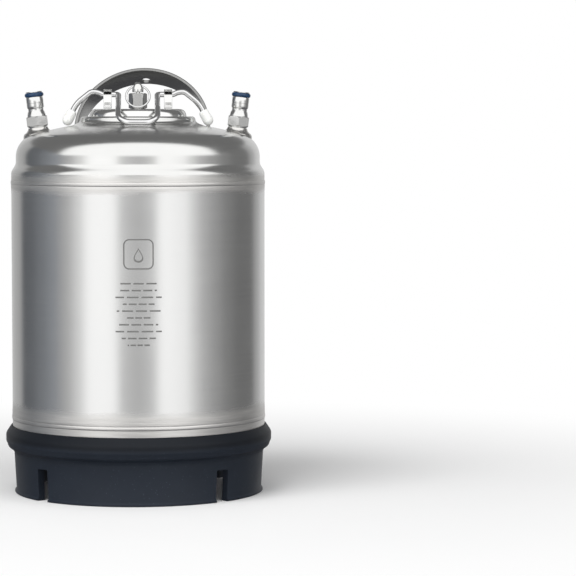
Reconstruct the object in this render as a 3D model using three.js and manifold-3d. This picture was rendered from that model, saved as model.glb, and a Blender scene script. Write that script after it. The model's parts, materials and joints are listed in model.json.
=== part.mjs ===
import * as THREE from "three";
import { mergeVertices } from "three/addons/utils/BufferGeometryUtils.js";
import Module from "manifold-3d";

const wasm = await Module();
wasm.setup();

// Millimetres, +Z up, origin on the floor under the middle of the shell, lifting loop towards -Y.
// Sizes that drive the keg.
const shellRadius = 108;
const shellWall = 1.2;
const barrelHeight = 200;
const bottomSeam = 64.5;
const gap = 0.3;
const around = 32;

// Shell levels and the two domes.
const topSeam = bottomSeam + barrelHeight;
const neckRadius = shellRadius - 4;
const stepStart = topSeam + 8;
const stepEnd = stepStart + 8.5;
const topKnuckle = 20;
const topCrown = 330;
const topKnuckleHeight = stepEnd + 5;
const topCrownCentre =
  topKnuckleHeight - Math.sqrt((topCrown - topKnuckle) ** 2 - (neckRadius - topKnuckle) ** 2);
const bottomKnuckle = 25;
const bottomCrown = 300;
const bottomKnuckleHeight = bottomSeam - 14.5;
const bottomCrownCentre =
  bottomKnuckleHeight + Math.sqrt((bottomCrown - bottomKnuckle) ** 2 - (shellRadius - bottomKnuckle) ** 2);

// Oval neck and lid: mean radii, made oval by adding ovalness along X and taking it off along Y.
const ovalness = 3.5;
const neckOuter = 45.5;
const neckRoll = 5.5;
const neckInner = neckOuter - neckRoll;
const neckRise = 6;
const lipDepth = 11;
const neckFoot = neckOuter + 5;
const lidSeal = 2.3;
const lidSheet = 1.5;
const lidRise = 6.3;

// Rubber boot: how far its foot, waist and lip stand out from the shell.
const bootFoot = -1.7;
const bootWaist = -1.3;
const bootLip = 5.6;
const bootBase = -3;
const bootTop = bottomSeam - 7.1;
const bootWall = 6.2;
const slotWidth = 12.5;
const slotHeight = 27;
const bootTurn = -4.3;

// Handle.
const handleRadius = 59;
const handleStrap = 3;
const handleWidth = 25;
const handleLean = THREE.MathUtils.degToRad(27.5);
const handleYaw = THREE.MathUtils.degToRad(-5.5);
const handleBack = 45;
const handleHole = 3.9;
const holeMargin = 3;
const archStraight = 3;
const legDrop = -24;

// Ball-lock posts.
const postInset = 23.5;
const postOffset = shellRadius - postInset;
const postTilt = THREE.MathUtils.degToRad(6.5);
const hexAcross = 17.5;
const postLength = 30.4;
const threadRadius = 7;
const tubeRadius = 4;
const tubeWall = 0.8;
const tubeBend = 14;
const shortRun = 45;
const postSeal = 1.5;
const springWire = 0.45;

// Bail.
const bailWire = 2.4;
const loopHalf = 16.5;
const loopReach = 63;
const loopCorner = 11;
const loopBend = 46;
const loopDroop = THREE.MathUtils.degToRad(16);
const loopTuck = THREE.MathUtils.degToRad(40);
const bracketOffset = 25.8;
const bracketWidth = 7;
const bracketSheet = 1.6;
const windowTall = 3.6;
const footRadius = 4.5;
const footReach = neckFoot + 9.3;

// Relief valve.
const valveRadius = 5.6;
const valveHex = 13.8;
const valveTall = 13.6;
const eyeRise = 6.3;
const valveStem = 1.8;
const capRadius = 4.8;
const ringRadius = 10;
const ringWire = 0.9;

const steel = { color: 0xb9bbbd, roughness: 0.25, metalness: 1 };
const brushed = { color: 0xb2b4b6, roughness: 0.4, metalness: 1 };
const rubber = { color: 0x1b1e24, roughness: 0.75, metalness: 0 };
const blackSeal = { color: 0x141414, roughness: 0.6, metalness: 0 };
const blueSeal = { color: 0x1d5fb4, roughness: 0.45, metalness: 0 };
const white = { color: 0xe4e6e4, roughness: 0.4, metalness: 0 };
const spring = { color: 0xa0a2a4, roughness: 0.3, metalness: 1 };

const keg = new THREE.Group();

function solid(geometry) {
  const bare = geometry.index ? geometry.toNonIndexed() : geometry.clone();
  bare.deleteAttribute("normal");
  bare.deleteAttribute("uv");
  const merged = mergeVertices(bare, 1e-3);
  const vertProperties = merged.attributes.position.array;
  const triVerts = new Uint32Array(merged.index.array);
  return new wasm.Manifold(new wasm.Mesh({ numProp: 3, vertProperties, triVerts }));
}

function geometryOf(body) {
  const mesh = body.getMesh();
  const geometry = new THREE.BufferGeometry();
  geometry.setAttribute("position", new THREE.BufferAttribute(mesh.vertProperties, 3));
  geometry.setIndex(new THREE.BufferAttribute(mesh.triVerts, 1));
  return geometry;
}

function add(name, shape, look) {
  const geometry = shape.isBufferGeometry ? shape : geometryOf(shape);
  const mesh = new THREE.Mesh(geometry, new THREE.MeshStandardMaterial(look));
  mesh.name = name;
  keg.add(mesh);
  return mesh;
}

// A profile of [radius, height] pairs turned about Z, listed either way round.
function turned(profile, segments = around) {
  const points = profile.map(([r, z]) => new THREE.Vector2(r, z));
  if (THREE.ShapeUtils.area(points) < 0) points.reverse();
  return new THREE.LatheGeometry(points, segments).rotateX(Math.PI / 2);
}

function ringOf(profile, segments = around) {
  return turned([...profile, profile[0]], segments);
}

function arc(cx, cz, r, from, to, steps) {
  return Array.from({ length: steps + 1 }, (_, i) => {
    const a = THREE.MathUtils.degToRad(from + ((to - from) * i) / steps);
    return [cx + r * Math.cos(a), cz + r * Math.sin(a)];
  });
}

function seal(centre, height, section, segments = around, sides = 8) {
  return ringOf(arc(centre, height, section, 0, 360, sides).slice(0, -1), segments);
}

function rod(radius, from, to, segments = 20) {
  const upright = new THREE.CylinderGeometry(radius, radius, to - from, segments).rotateX(Math.PI / 2);
  return upright.translate(0, 0, (from + to) / 2);
}

function hexBar(across, from, to) {
  return rod(across / Math.sqrt(3), from, to, 6).rotateZ(Math.PI / 6);
}

function block(width, depth, height, x, y, z) {
  return new THREE.BoxGeometry(width, depth, height).translate(x, y, z);
}

const ease = (t) => THREE.MathUtils.smoothstep(t, 0, 1);

function ovalise(geometry) {
  const places = geometry.attributes.position;
  for (let i = 0; i < places.count; i++) {
    const x = places.getX(i);
    const y = places.getY(i);
    const r = Math.hypot(x, y);
    const inside = ease((r - 0.35 * neckOuter) / (0.3 * neckOuter));
    const outside = 1 - ease((r - neckFoot) / 6);
    const push = r > 0 ? (ovalness * inside * outside) / r : 0;
    places.setXY(i, x * (1 + push), y * (1 - push));
  }
  return geometry;
}

function domeHeight(r) {
  return topCrownCentre + Math.sqrt(topCrown ** 2 - r ** 2);
}

// The outside of the top head from its knuckle to the foot of the neck, lifted by a clearance.
function domeOutline(lift) {
  const across = neckRadius - topKnuckle;
  const joinAngle = THREE.MathUtils.radToDeg(Math.atan2(topKnuckleHeight - topCrownCentre, across));
  const joinRadius = (across * topCrown) / (topCrown - topKnuckle);
  const crown = Array.from({ length: 3 }, (_, i) => {
    const r = joinRadius + ((neckFoot - joinRadius) * (i + 1)) / 3;
    return [r, topCrownCentre + Math.sqrt((topCrown + lift) ** 2 - r ** 2)];
  });
  return [...arc(across, topKnuckleHeight, topKnuckle + lift, 0, joinAngle, 4), ...crown];
}

// Barrel and bottom head.
add(
  "barrel",
  ringOf([
    [shellRadius, bottomSeam + gap / 2],
    [shellRadius, topSeam - gap / 2],
    [shellRadius - shellWall, topSeam - gap / 2],
    [shellRadius - shellWall, bottomSeam + gap / 2],
  ]),
  brushed,
);

function bottomOutline(lift) {
  const across = shellRadius - bottomKnuckle;
  const joinAngle = THREE.MathUtils.radToDeg(Math.atan2(bottomKnuckleHeight - bottomCrownCentre, across));
  const joinRadius = (across * bottomCrown) / (bottomCrown - bottomKnuckle);
  const crown = Array.from({ length: 3 }, (_, i) => {
    const r = (joinRadius * (2 - i)) / 3;
    return [r, bottomCrownCentre - Math.sqrt((bottomCrown + lift) ** 2 - r ** 2)];
  });
  return [...arc(across, bottomKnuckleHeight, bottomKnuckle + lift, 0, joinAngle, 5), ...crown];
}

add(
  "bottom_head",
  turned([
    ...bottomOutline(-shellWall).reverse(),
    [shellRadius - shellWall, bottomSeam - gap / 2],
    [shellRadius, bottomSeam - gap / 2],
    ...bottomOutline(0),
  ]),
  steel,
);

// Oval neck ring whose edge rolls in and down.
const neckTop = domeHeight(neckOuter) + neckRise;
const lipEnd = neckTop - lipDepth;
const rollRadius = (neckOuter - neckInner) / 2;
const rollCentre = (neckOuter + neckInner) / 2;
const neckRoot = neckFoot - gap;
const neck = [
  [neckRoot, domeHeight(neckFoot)],
  [neckOuter + 1.4, domeHeight(neckOuter) + 1],
  [neckOuter, domeHeight(neckOuter) + 2.6],
  ...arc(rollCentre, neckTop - rollRadius, rollRadius, 0, 180, 6),
  [neckInner, lipEnd],
  [neckInner + shellWall, lipEnd],
  ...arc(rollCentre, neckTop - rollRadius, rollRadius - shellWall, 180, 0, 4),
  [neckOuter - shellWall, domeHeight(neckOuter) + 1.4],
  [neckOuter + 0.6, domeHeight(neckOuter) - 0.3],
  [neckRoot, domeHeight(neckFoot) - shellWall],
];
add("neck_ring", ovalise(ringOf(neck)), steel);

// Top head: shoulder step, knuckle and crown, open in the middle for the neck ring.
const domeSection = [
  [shellRadius, topSeam + gap / 2],
  [shellRadius, stepStart],
  [shellRadius - 0.7, stepStart + 2.6],
  [neckRadius + 1.5, stepStart + 5.6],
  [neckRadius + 0.2, stepEnd - 1],
  ...domeOutline(0),
  ...domeOutline(-shellWall).reverse(),
  [neckRadius + 0.2 - shellWall, stepEnd - 1],
  [neckRadius + 1.5 - shellWall, stepStart + 5],
  [shellRadius - 0.7 - shellWall, stepStart + 2],
  [shellRadius - shellWall, stepStart - 0.6],
  [shellRadius - shellWall, topSeam + gap / 2],
];
let topHead = solid(ovalise(ringOf(domeSection)));

// A solid that fills everything up to just over the dome, for trimming what is welded on it.
const fillTop = [0, domeHeight(0) + gap];
const domeFill = solid(turned([[0, topSeam], [neckRadius + gap, topSeam], ...domeOutline(gap), fillTop]));

// Frames of the two posts: height is measured along each tilted axis from its foot on the dome.
function onPost(side, geometry) {
  const foot = domeHeight(postOffset) - 0.5;
  return geometry.rotateY(side * postTilt).translate(side * postOffset, 0, foot);
}

// Levels of the stub and the post, measured along the tilted axis from the dome.
const stubFoot = threadRadius + 4.5;
const stubShoulder = threadRadius + 1.3;
const stubBore = tubeRadius + 0.9;
const stubTop = 11;
const shoulderTop = 4.9;
const tubeSeal = 1;
const flangeUnder = stubTop + gap + 2 * tubeSeal + gap;
const flangeTop = flangeUnder + 0.8;
const postFloor = flangeTop + gap;
const chamber = stubBore + 0.1;
const postFoot = shoulderTop + gap;
const postTop = postFoot + postLength;
const hexFoot = postFoot + 0.8;
const hexHead = hexFoot + 8.6;
const grooveFoot = hexHead + 4.6;
const grooveTop = grooveFoot + 2.2;
const grooveRadius = 6.5;
const collarRadius = threadRadius + 0.75;
const barrelOut = threadRadius + 0.25;
const seatUnder = postTop - 6.6;
const mouth = chamber - 1.1;
const sealCentre = mouth + 0.9 + gap + postSeal;
const sealFloor = sealCentre - postSeal - gap;
const sealHeight = postTop - 2.7;
const poppetPin = mouth - 1.7;
const poppetSeal = 2.4;
const poppetDisc = seatUnder - gap - poppetSeal - gap;

for (const [kind, side] of [["gas", -1], ["liquid", 1]]) {
  const spigot = threadRadius + 0.4;
  const flare = turned([
    [0, -6],
    [stubFoot, -6],
    [stubFoot, 0.4],
    [stubFoot - 1.2, 1.6],
    [stubShoulder + 0.7, 3],
    [stubShoulder, shoulderTop - 0.5],
    [stubShoulder, shoulderTop],
    [0, shoulderTop],
  ], 20);
  const trimmed = solid(onPost(side, flare)).subtract(domeFill);
  const thread = solid(onPost(side, rod(threadRadius, 4, stubTop)));
  const through = solid(onPost(side, rod(spigot, -6, 4)));
  const bore = solid(onPost(side, rod(stubBore, -8, stubTop + 1)));
  add(kind + "_bung", trimmed.add(thread).add(through).subtract(bore), steel);
  topHead = topHead.subtract(solid(onPost(side, rod(spigot + gap, -12, 8))));

  const skin = turned([
    [0, postFoot],
    [stubShoulder - 0.2, postFoot],
    [stubShoulder - 0.2, hexFoot],
    [hexAcross, hexFoot],
    [hexAcross, hexHead],
    [collarRadius, hexHead],
    [collarRadius, hexHead + 1.6],
    [threadRadius + 0.2, grooveFoot - 0.6],
    [grooveRadius, grooveFoot],
    [grooveRadius, grooveTop],
    [barrelOut, grooveTop + 0.8],
    [barrelOut, sealHeight - postSeal - 0.4],
    [sealFloor, sealHeight - postSeal - 0.4],
    [sealFloor, sealHeight + postSeal + gap],
    [barrelOut - 0.15, sealHeight + postSeal + gap],
    [barrelOut - 0.35, postTop],
    [0, postTop],
  ], 20);
  const corner = hexAcross / Math.sqrt(3) + 0.1;
  const chamfered = turned([
    [0, hexFoot],
    [hexAcross / 2, hexFoot],
    [corner, hexFoot + 1.2],
    [corner, hexHead - 1.2],
    [hexAcross / 2, hexHead],
    [0, hexHead],
  ], 20);
  const flats = solid(chamfered).intersect(solid(hexBar(hexAcross, 0, postTop).rotateZ(Math.PI / 6)));
  const upper = solid(rod(collarRadius + 0.03, hexHead - 1, postTop + 1));
  const lower = solid(rod(stubShoulder, postFoot - 1, hexFoot + 1));
  let post = solid(skin).intersect(flats.add(upper).add(lower));
  post = post.subtract(solid(rod(threadRadius + gap, postFoot - 1, postFloor)));
  post = post.subtract(solid(rod(chamber, postFloor - 0.1, seatUnder)));
  post = post.subtract(solid(rod(mouth, seatUnder - 0.1, postTop + 1)));
  add(kind + "_post", onPost(side, geometryOf(post)), steel);
  add(kind + "_post_oring", onPost(side, seal(sealCentre, sealHeight, postSeal, 20, 8)), blueSeal);

  const pin = turned([
    [0, poppetDisc - 4.6],
    [chamber - 3.2, poppetDisc - 4.6],
    [chamber - 3.2, poppetDisc - 1.4],
    [chamber - 0.5, poppetDisc - 1.4],
    [chamber - 0.5, poppetDisc],
    [poppetPin, poppetDisc],
    [poppetPin, postTop - 1.4],
    [poppetPin - 0.5, postTop - 0.8],
    [0, postTop - 0.8],
  ], 20);
  add(kind + "_poppet", onPost(side, pin), steel);
  const ring = ringOf([
    [poppetPin + gap, poppetDisc + gap],
    [chamber - 0.4, poppetDisc + gap],
    [chamber - 0.4, poppetDisc + gap + poppetSeal - 0.8],
    [chamber - 0.9, poppetDisc + gap + poppetSeal],
    [poppetPin + gap, poppetDisc + gap + poppetSeal],
  ], 20);
  add(kind + "_poppet_seal", onPost(side, ring), blackSeal);
  const coil = coilSpring(chamber - 2.4, postFloor + gap, poppetDisc - 1.4 - gap, 4);
  add(kind + "_poppet_spring", onPost(side, coil), spring);

  // The tube drops from its flange; the long one turns in towards the lowest point of the keg.
  const flange = solid(onPost(side, rod(threadRadius - 0.1, flangeUnder, flangeTop)));
  const down = new THREE.Vector3(-side * Math.sin(postTilt), 0, -Math.cos(postTilt));
  const foot = new THREE.Vector3(side * postOffset, 0, domeHeight(postOffset) - 0.5);
  const start = foot.clone().addScaledVector(down, -flangeUnder - 0.4);
  const lowest = bottomCrownCentre - bottomCrown + shellWall;
  const run = side < 0 ? shortRun : (start.z - lowest - 62) / Math.cos(postTilt);
  const bend = start.clone().addScaledVector(down, run);
  const sweepIn = [
    new THREE.Vector3(bend.x * 0.42, 0, lowest + 14),
    new THREE.Vector3(bend.x * 0.22, 0, lowest + 9),
  ];
  const corners = side < 0 ? [start, bend] : [start, bend, ...sweepIn];
  const steps = side < 0 ? 2 : 20;
  const outerTube = swept(corners, tubeBend, tubeRadius, steps, 10);
  const lengthened = [...corners];
  lengthened[0] = start.clone().addScaledVector(down, -3);
  const last = corners[corners.length - 1];
  const way = last.clone().sub(corners[corners.length - 2]).normalize();
  lengthened[lengthened.length - 1] = last.clone().addScaledVector(way, 2);
  const innerTube = swept(lengthened, tubeBend, tubeRadius - tubeWall, steps, 10);
  add(kind + "_dip_tube", solid(outerTube).add(flange).subtract(solid(innerTube)), steel);
  const washer = seal(tubeRadius + gap + tubeSeal + 0.4, stubTop + gap + tubeSeal, tubeSeal, 16, 6);
  add(kind + "_dip_tube_oring", onPost(side, washer), blackSeal);
}
add("top_head", topHead, steel);

// Straight runs joined by rounded corners.
function rounded(corners, cut) {
  const path = new THREE.CurvePath();
  let from = corners[0];
  for (let i = 1; i < corners.length - 1; i++) {
    const corner = corners[i];
    const before = corner.clone().add(corners[i - 1].clone().sub(corner).setLength(cut));
    const after = corner.clone().add(corners[i + 1].clone().sub(corner).setLength(cut));
    path.add(new THREE.LineCurve3(from, before));
    path.add(new THREE.QuadraticBezierCurve3(before, corner, after));
    from = after;
  }
  path.add(new THREE.LineCurve3(from, corners[corners.length - 1]));
  return path;
}

function roundSection(radius, sides) {
  const corners = arc(0, 0, radius, 0, 360, sides).slice(0, -1);
  return new THREE.Shape(corners.map(([x, y]) => new THREE.Vector2(x, y)));
}

function swept(corners, cut, radius, steps, sides) {
  const options = { steps, extrudePath: rounded(corners, cut), bevelEnabled: false };
  return new THREE.ExtrudeGeometry(roundSection(radius, sides), options);
}

function coilSpring(radius, from, to, turns) {
  const steps = turns * 8;
  const points = Array.from({ length: steps + 1 }, (_, i) => {
    const a = (i * Math.PI) / 4;
    const z = from + springWire + ((to - from - 2 * springWire) * i) / steps;
    return new THREE.Vector3(radius * Math.cos(a), radius * Math.sin(a), z);
  });
  const options = { steps, extrudePath: new THREE.CatmullRomCurve3(points), bevelEnabled: false };
  return new THREE.ExtrudeGeometry(roundSection(springWire, 5), options);
}

// Rubber boot: follows the bottom knuckle, flares to a lip and stands on its lower edge.
const bootSkirt = shellRadius + bootBase - bootWall;
const bootInner = bottomOutline(gap).filter(([r]) => r > bootSkirt);
let boot = solid(ringOf([
  [bootSkirt, 0],
  [shellRadius + bootFoot, 0],
  [shellRadius + bootBase, 2.6],
  [shellRadius + bootWaist, bootTop - 23.1],
  [shellRadius, bootTop - 20.4],
  [shellRadius + 3.5, bootTop - 18],
  [shellRadius + bootLip - 0.6, bootTop - 14.6],
  [shellRadius + bootLip, bootTop - 12.8],
  [shellRadius + bootLip, bootTop - 7.7],
  [shellRadius + bootLip - 0.9, bootTop - 5],
  [shellRadius + 1.2, bootTop],
  [shellRadius + gap, bootTop],
  ...bootInner,
]));
for (const angle of [45, 135, 225, 315]) {
  const slot = block(30, slotWidth, slotHeight + 1, shellRadius, 0, (slotHeight - 1) / 2);
  boot = boot.subtract(solid(slot.rotateZ(THREE.MathUtils.degToRad(angle + bootTurn))));
}
add("rubber_boot", boot, rubber);

// Handle: a flat strap bent to an arch, leaning back, its feet cut to the dome.
const arch = new THREE.Shape();
arch.moveTo(-handleRadius, legDrop);
arch.lineTo(-handleRadius, archStraight);
arch.absarc(0, archStraight, handleRadius, Math.PI, 0, true);
arch.lineTo(handleRadius, legDrop);
arch.lineTo(handleRadius - handleStrap, legDrop);
arch.lineTo(handleRadius - handleStrap, archStraight);
arch.absarc(0, archStraight, handleRadius - handleStrap, 0, Math.PI, false);
arch.lineTo(-handleRadius + handleStrap, legDrop);
const strapOptions = { depth: handleWidth, curveSegments: 22, bevelEnabled: false };
const strap = new THREE.ExtrudeGeometry(arch, strapOptions).translate(0, 0, -handleWidth / 2);
const hole = new THREE.CylinderGeometry(handleHole, handleHole, 12, 20)
  .translate(0, archStraight + handleRadius - handleStrap / 2, holeMargin + handleHole - handleWidth / 2);
const handleFoot = domeHeight(Math.hypot(handleRadius, handleBack)) - 6.5;
const lean = new THREE.Matrix4().makeBasis(
  new THREE.Vector3(1, 0, 0),
  new THREE.Vector3(0, Math.sin(handleLean), Math.cos(handleLean)),
  new THREE.Vector3(0, -Math.cos(handleLean), Math.sin(handleLean)),
);
const stand = new THREE.Matrix4()
  .makeRotationZ(handleYaw)
  .multiply(new THREE.Matrix4().makeTranslation(0, handleBack, handleFoot))
  .multiply(lean);
const handle = solid(strap).subtract(solid(hole));
add("handle_strap", solid(geometryOf(handle).applyMatrix4(stand)).subtract(domeFill), brushed);

// Lid, its seal under the neck lip and the two brackets that carry the bail.
const flangeLevel = lipEnd - 2 * gap - 2 * lidSeal;
const lidWall = neckInner - 2.2;
const lidInside = lidWall - lidSheet;
const lidEdge = neckOuter - 1.5;
const lidTop = neckTop + lidRise;
const valveHole = valveRadius + 0.65;
const lid = ovalise(ringOf([
  [valveHole, lidTop],
  [valveHole, lidTop - lidSheet],
  [lidInside - 3.3, lidTop - lidSheet],
  [lidInside - 0.4, lidTop - lidSheet - 3.2],
  [lidInside, lidTop - lidSheet - 5],
  [lidInside, flangeLevel - lidSheet],
  [lidEdge, flangeLevel - lidSheet],
  [lidEdge, flangeLevel],
  [lidWall, flangeLevel],
  [lidWall, lidTop - 4.6],
  [lidWall - 0.7, lidTop - 3.2],
  [lidWall - 4.3, lidTop],
]));
add("lid_plate", lid, steel);
const lidGasket = seal(lidWall + gap + lidSeal, flangeLevel + gap + lidSeal, lidSeal, around, 6);
add("lid_oring", ovalise(lidGasket), blackSeal);

const bailHeight = lidTop + 12.5;
const bracketBore = bailWire + gap;
for (const [name, side] of [["left", -1], ["right", 1]]) {
  const fold = new THREE.Shape();
  const outer = bracketBore + bracketSheet;
  fold.moveTo(outer, lidTop + gap);
  fold.lineTo(outer, bailHeight);
  fold.absarc(0, bailHeight, outer, 0, Math.PI, false);
  fold.lineTo(-outer, lidTop + gap);
  fold.lineTo(-bracketBore, lidTop + gap);
  fold.lineTo(-bracketBore, bailHeight);
  fold.absarc(0, bailHeight, bracketBore, Math.PI, 0, true);
  fold.lineTo(bracketBore, lidTop + gap);
  const foldOptions = { depth: bracketWidth, curveSegments: 8, bevelEnabled: false };
  const folded = new THREE.ExtrudeGeometry(fold, foldOptions)
    .translate(0, 0, -bracketWidth / 2)
    .rotateX(Math.PI / 2)
    .rotateZ(Math.PI / 2)
    .translate(side * bracketOffset, 0, 0);
  const leaf = 2 * bracketSheet;
  const front = -bracketBore - leaf / 2;
  const window = block(bracketWidth - 1.8, leaf, windowTall, side * bracketOffset, front, lidTop + 4);
  add(name + "_bail_bracket", solid(folded).subtract(solid(window)), steel);
}

// Bail: one wire from foot to foot through both brackets, with the lifting loop between them.
const footDistance = topCrown + footRadius + 2 * gap;
const footHeight = topCrownCentre + Math.sqrt(footDistance ** 2 - footReach ** 2);
const footCentre = new THREE.Vector3(footReach, 0, footHeight);
const elbow = new THREE.Vector3(footReach - 7.8, 0, bailHeight - 7.5);
const half = [
  footCentre,
  elbow,
  new THREE.Vector3(bracketOffset + 13.5, 0, bailHeight + 2.6),
  new THREE.Vector3(bracketOffset + 7.4, 0, bailHeight + 1.6),
  new THREE.Vector3(bracketOffset + bracketWidth / 2 + 1, 0, bailHeight),
  new THREE.Vector3(loopHalf, 0, bailHeight),
];
const droop = new THREE.Vector3(0, -Math.cos(loopDroop), -Math.sin(loopDroop));
const tuck = new THREE.Vector3(0, -Math.cos(loopTuck), -Math.sin(loopTuck));
function alongLoop(x, reach) {
  return new THREE.Vector3(x, 0, bailHeight)
    .addScaledVector(droop, Math.min(reach, loopBend))
    .addScaledVector(tuck, Math.max(reach - loopBend, 0));
}
const loopEnd = Array.from({ length: 9 }, (_, i) => {
  const a = (i * Math.PI) / 16;
  const x = loopHalf - loopCorner + loopCorner * Math.cos(a);
  return alongLoop(x, loopReach - loopCorner + loopCorner * Math.sin(a));
});
const rightHalf = [...half, ...loopEnd];
const leftHalf = [...rightHalf].reverse().map((p) => new THREE.Vector3(-p.x, p.y, p.z));
const wirePath = rounded([...rightHalf, ...leftHalf], 1.6);
const wireOptions = { steps: 96, extrudePath: wirePath, bevelEnabled: false };
add("bail_wire", new THREE.ExtrudeGeometry(roundSection(bailWire, 8), wireOptions), steel);

for (const [name, side] of [["left", -1], ["right", 1]]) {
  const axis = elbow.clone().sub(footCentre).normalize();
  axis.x *= side;
  const sleeve = turned([
    ...arc(0, 0, footRadius, -90, 0, 5),
    [footRadius, 7.6],
    [footRadius - 0.8, 9.2],
    [bailWire + gap, 9.2],
    [bailWire + gap, -gap],
    [0, -gap],
  ], 20)
    .applyQuaternion(new THREE.Quaternion().setFromUnitVectors(new THREE.Vector3(0, 0, 1), axis))
    .translate(side * footReach, 0, footHeight);
  add(name + "_bail_foot", sleeve, white);
}

// Relief valve in the middle of the lid.
const under = lidTop - lidSheet;
const seat = under - 5.4;
const bodyTop = lidTop + valveTall;
const eyeHeight = bodyTop + eyeRise;
const plugTop = seat + 4.2;
const valveBore = valveRadius - 1.9;
const threadOut = valveHole - gap;
const spigotEnd = seat - 2.4;
const boreTop = bodyTop - 2.4;
const valveSpigot = solid(turned([
  [0, spigotEnd],
  [threadOut - 0.5, spigotEnd],
  [threadOut, spigotEnd + 0.5],
  [threadOut, lidTop + gap + 0.1],
  [0, lidTop + gap + 0.1],
], 20));
const valveCorner = valveHex / Math.sqrt(3) + 0.1;
const valveBlank = solid(turned([
  [0, lidTop + gap],
  [valveHex / 2, lidTop + gap],
  [valveCorner, lidTop + gap + 0.7],
  [valveCorner, bodyTop - 1],
  [valveHex / 2 - 0.3, bodyTop],
  [0, bodyTop],
], 20));
const valveBody = valveSpigot
  .add(valveBlank.intersect(solid(hexBar(valveHex, lidTop, bodyTop + 1))))
  .subtract(solid(rod(valveBore, seat, boreTop)))
  .subtract(solid(rod(valveStem + 0.6, spigotEnd - 1, bodyTop + 1)));
add("relief_valve_body", valveBody, steel);

const nutTop = under - gap;
const nutBlank = solid(hexBar(valveHex + 4.4, nutTop - 4.6, nutTop));
const nut = nutBlank.subtract(solid(rod(valveHole, nutTop - 6, nutTop + 1)));
add("relief_valve_nut", nut, steel);

const plugFoot = seat + 2.2;
const sealBore = valveStem - 0.3 + gap;
const stem = solid(turned([
  [0, spigotEnd],
  [valveStem - 0.3, spigotEnd],
  [valveStem - 0.3, plugFoot],
  [valveBore - 0.6, plugFoot],
  [valveBore - 0.6, plugTop],
  [valveStem, plugTop],
  [valveStem, bodyTop + 0.8],
  [capRadius - 0.4, bodyTop + 0.9],
  [capRadius, bodyTop + 1.4],
  [capRadius, eyeHeight - 2.7],
  [capRadius - 0.6, eyeHeight - 0.4],
  [capRadius - 1.3, eyeHeight + 1.4],
  [capRadius - 2.4, eyeHeight + 2.5],
  [capRadius - 3.6, eyeHeight + 3],
  [0, eyeHeight + 3],
], 20));
const eyeRadius = 2.6 * ringWire;
const eye = new THREE.CylinderGeometry(eyeRadius, eyeRadius, 12, 16)
  .rotateZ(Math.PI / 2)
  .translate(0, 0, eyeHeight);
add("relief_valve_stem", stem.subtract(solid(eye)), steel);
const seatSeal = ringOf([
  [sealBore, seat + gap],
  [valveBore - 0.5, seat + gap],
  [valveBore - 0.5, plugFoot - gap],
  [sealBore, plugFoot - gap],
], 20);
add("relief_valve_seal", seatSeal, blackSeal);
const valveCoil = coilSpring((valveStem + valveBore) / 2, plugTop + gap, boreTop - gap, 5);
add("relief_valve_spring", valveCoil, spring);

const hang = THREE.MathUtils.degToRad(25);
const pullRing = new THREE.TorusGeometry(ringRadius, ringWire, 6, 28)
  .rotateX(Math.PI / 2)
  .translate(0, 0, -ringRadius)
  .rotateX(-hang)
  .translate(0, 0, eyeHeight);
add("relief_valve_ring", pullRing, steel);

export default keg;
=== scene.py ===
import json
import math

import bmesh
import bpy
from mathutils import Matrix, Vector


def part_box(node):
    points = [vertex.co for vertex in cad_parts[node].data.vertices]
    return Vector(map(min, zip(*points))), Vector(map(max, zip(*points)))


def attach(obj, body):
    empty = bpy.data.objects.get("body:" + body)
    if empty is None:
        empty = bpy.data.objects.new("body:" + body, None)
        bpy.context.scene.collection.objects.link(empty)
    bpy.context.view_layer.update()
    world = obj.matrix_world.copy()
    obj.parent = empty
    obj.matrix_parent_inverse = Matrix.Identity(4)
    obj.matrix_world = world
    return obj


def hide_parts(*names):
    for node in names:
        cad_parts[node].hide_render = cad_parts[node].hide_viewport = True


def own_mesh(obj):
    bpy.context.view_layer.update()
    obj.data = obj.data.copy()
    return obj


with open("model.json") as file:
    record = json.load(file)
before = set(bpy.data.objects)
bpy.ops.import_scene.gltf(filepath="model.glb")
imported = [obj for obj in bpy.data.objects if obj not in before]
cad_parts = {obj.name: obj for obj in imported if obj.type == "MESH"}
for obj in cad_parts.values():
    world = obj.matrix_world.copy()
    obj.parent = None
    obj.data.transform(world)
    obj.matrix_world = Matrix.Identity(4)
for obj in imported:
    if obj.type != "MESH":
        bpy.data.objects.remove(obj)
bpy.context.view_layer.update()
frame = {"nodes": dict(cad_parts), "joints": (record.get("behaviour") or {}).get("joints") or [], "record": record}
mm = 0.001


# ---- places taken from the frame
def lowest(name):
    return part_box(name)[0] / mm


def highest(name):
    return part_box(name)[1] / mm


joints = {j["name"]: j for j in frame["joints"]}
seatGap = 0.3
neckInset = 1.5
lidEdge = highest("lid_plate")

shellRadius = highest("barrel").x
topSeam = (highest("barrel").z + lowest("top_head").z) / 2
bottomSeam = (lowest("barrel").z + highest("bottom_head").z) / 2
neckTop = highest("neck_ring").z
bootEdge = highest("rubber_boot")
lidTop = lidEdge.z
ovalness = (lidEdge.x - lidEdge.y) / 2
neckOuter = lidEdge.x - ovalness + neckInset
bracketNear, bracketFar = lowest("right_bail_bracket").x, highest("right_bail_bracket").x
valveFoot, valveTop = lowest("relief_valve_body").z, highest("relief_valve_body").z
stemTop = highest("relief_valve_stem").z
bailHeight = joints["bail_swing"]["pos_m"][2] / mm
eyeHeight = joints["ring_swing"]["pos_m"][2] / mm
sameSpot = 1e-6


# ---- shared making
def arc(cx, cz, r, start, end, steps):
    turns = [math.radians(start + (end - start) * i / steps) for i in range(steps + 1)]
    return [(cx + r * math.cos(a), cz + r * math.sin(a)) for a in turns]


def turnOutward(bm):
    bmesh.ops.recalc_face_normals(bm, faces=bm.faces)


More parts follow.
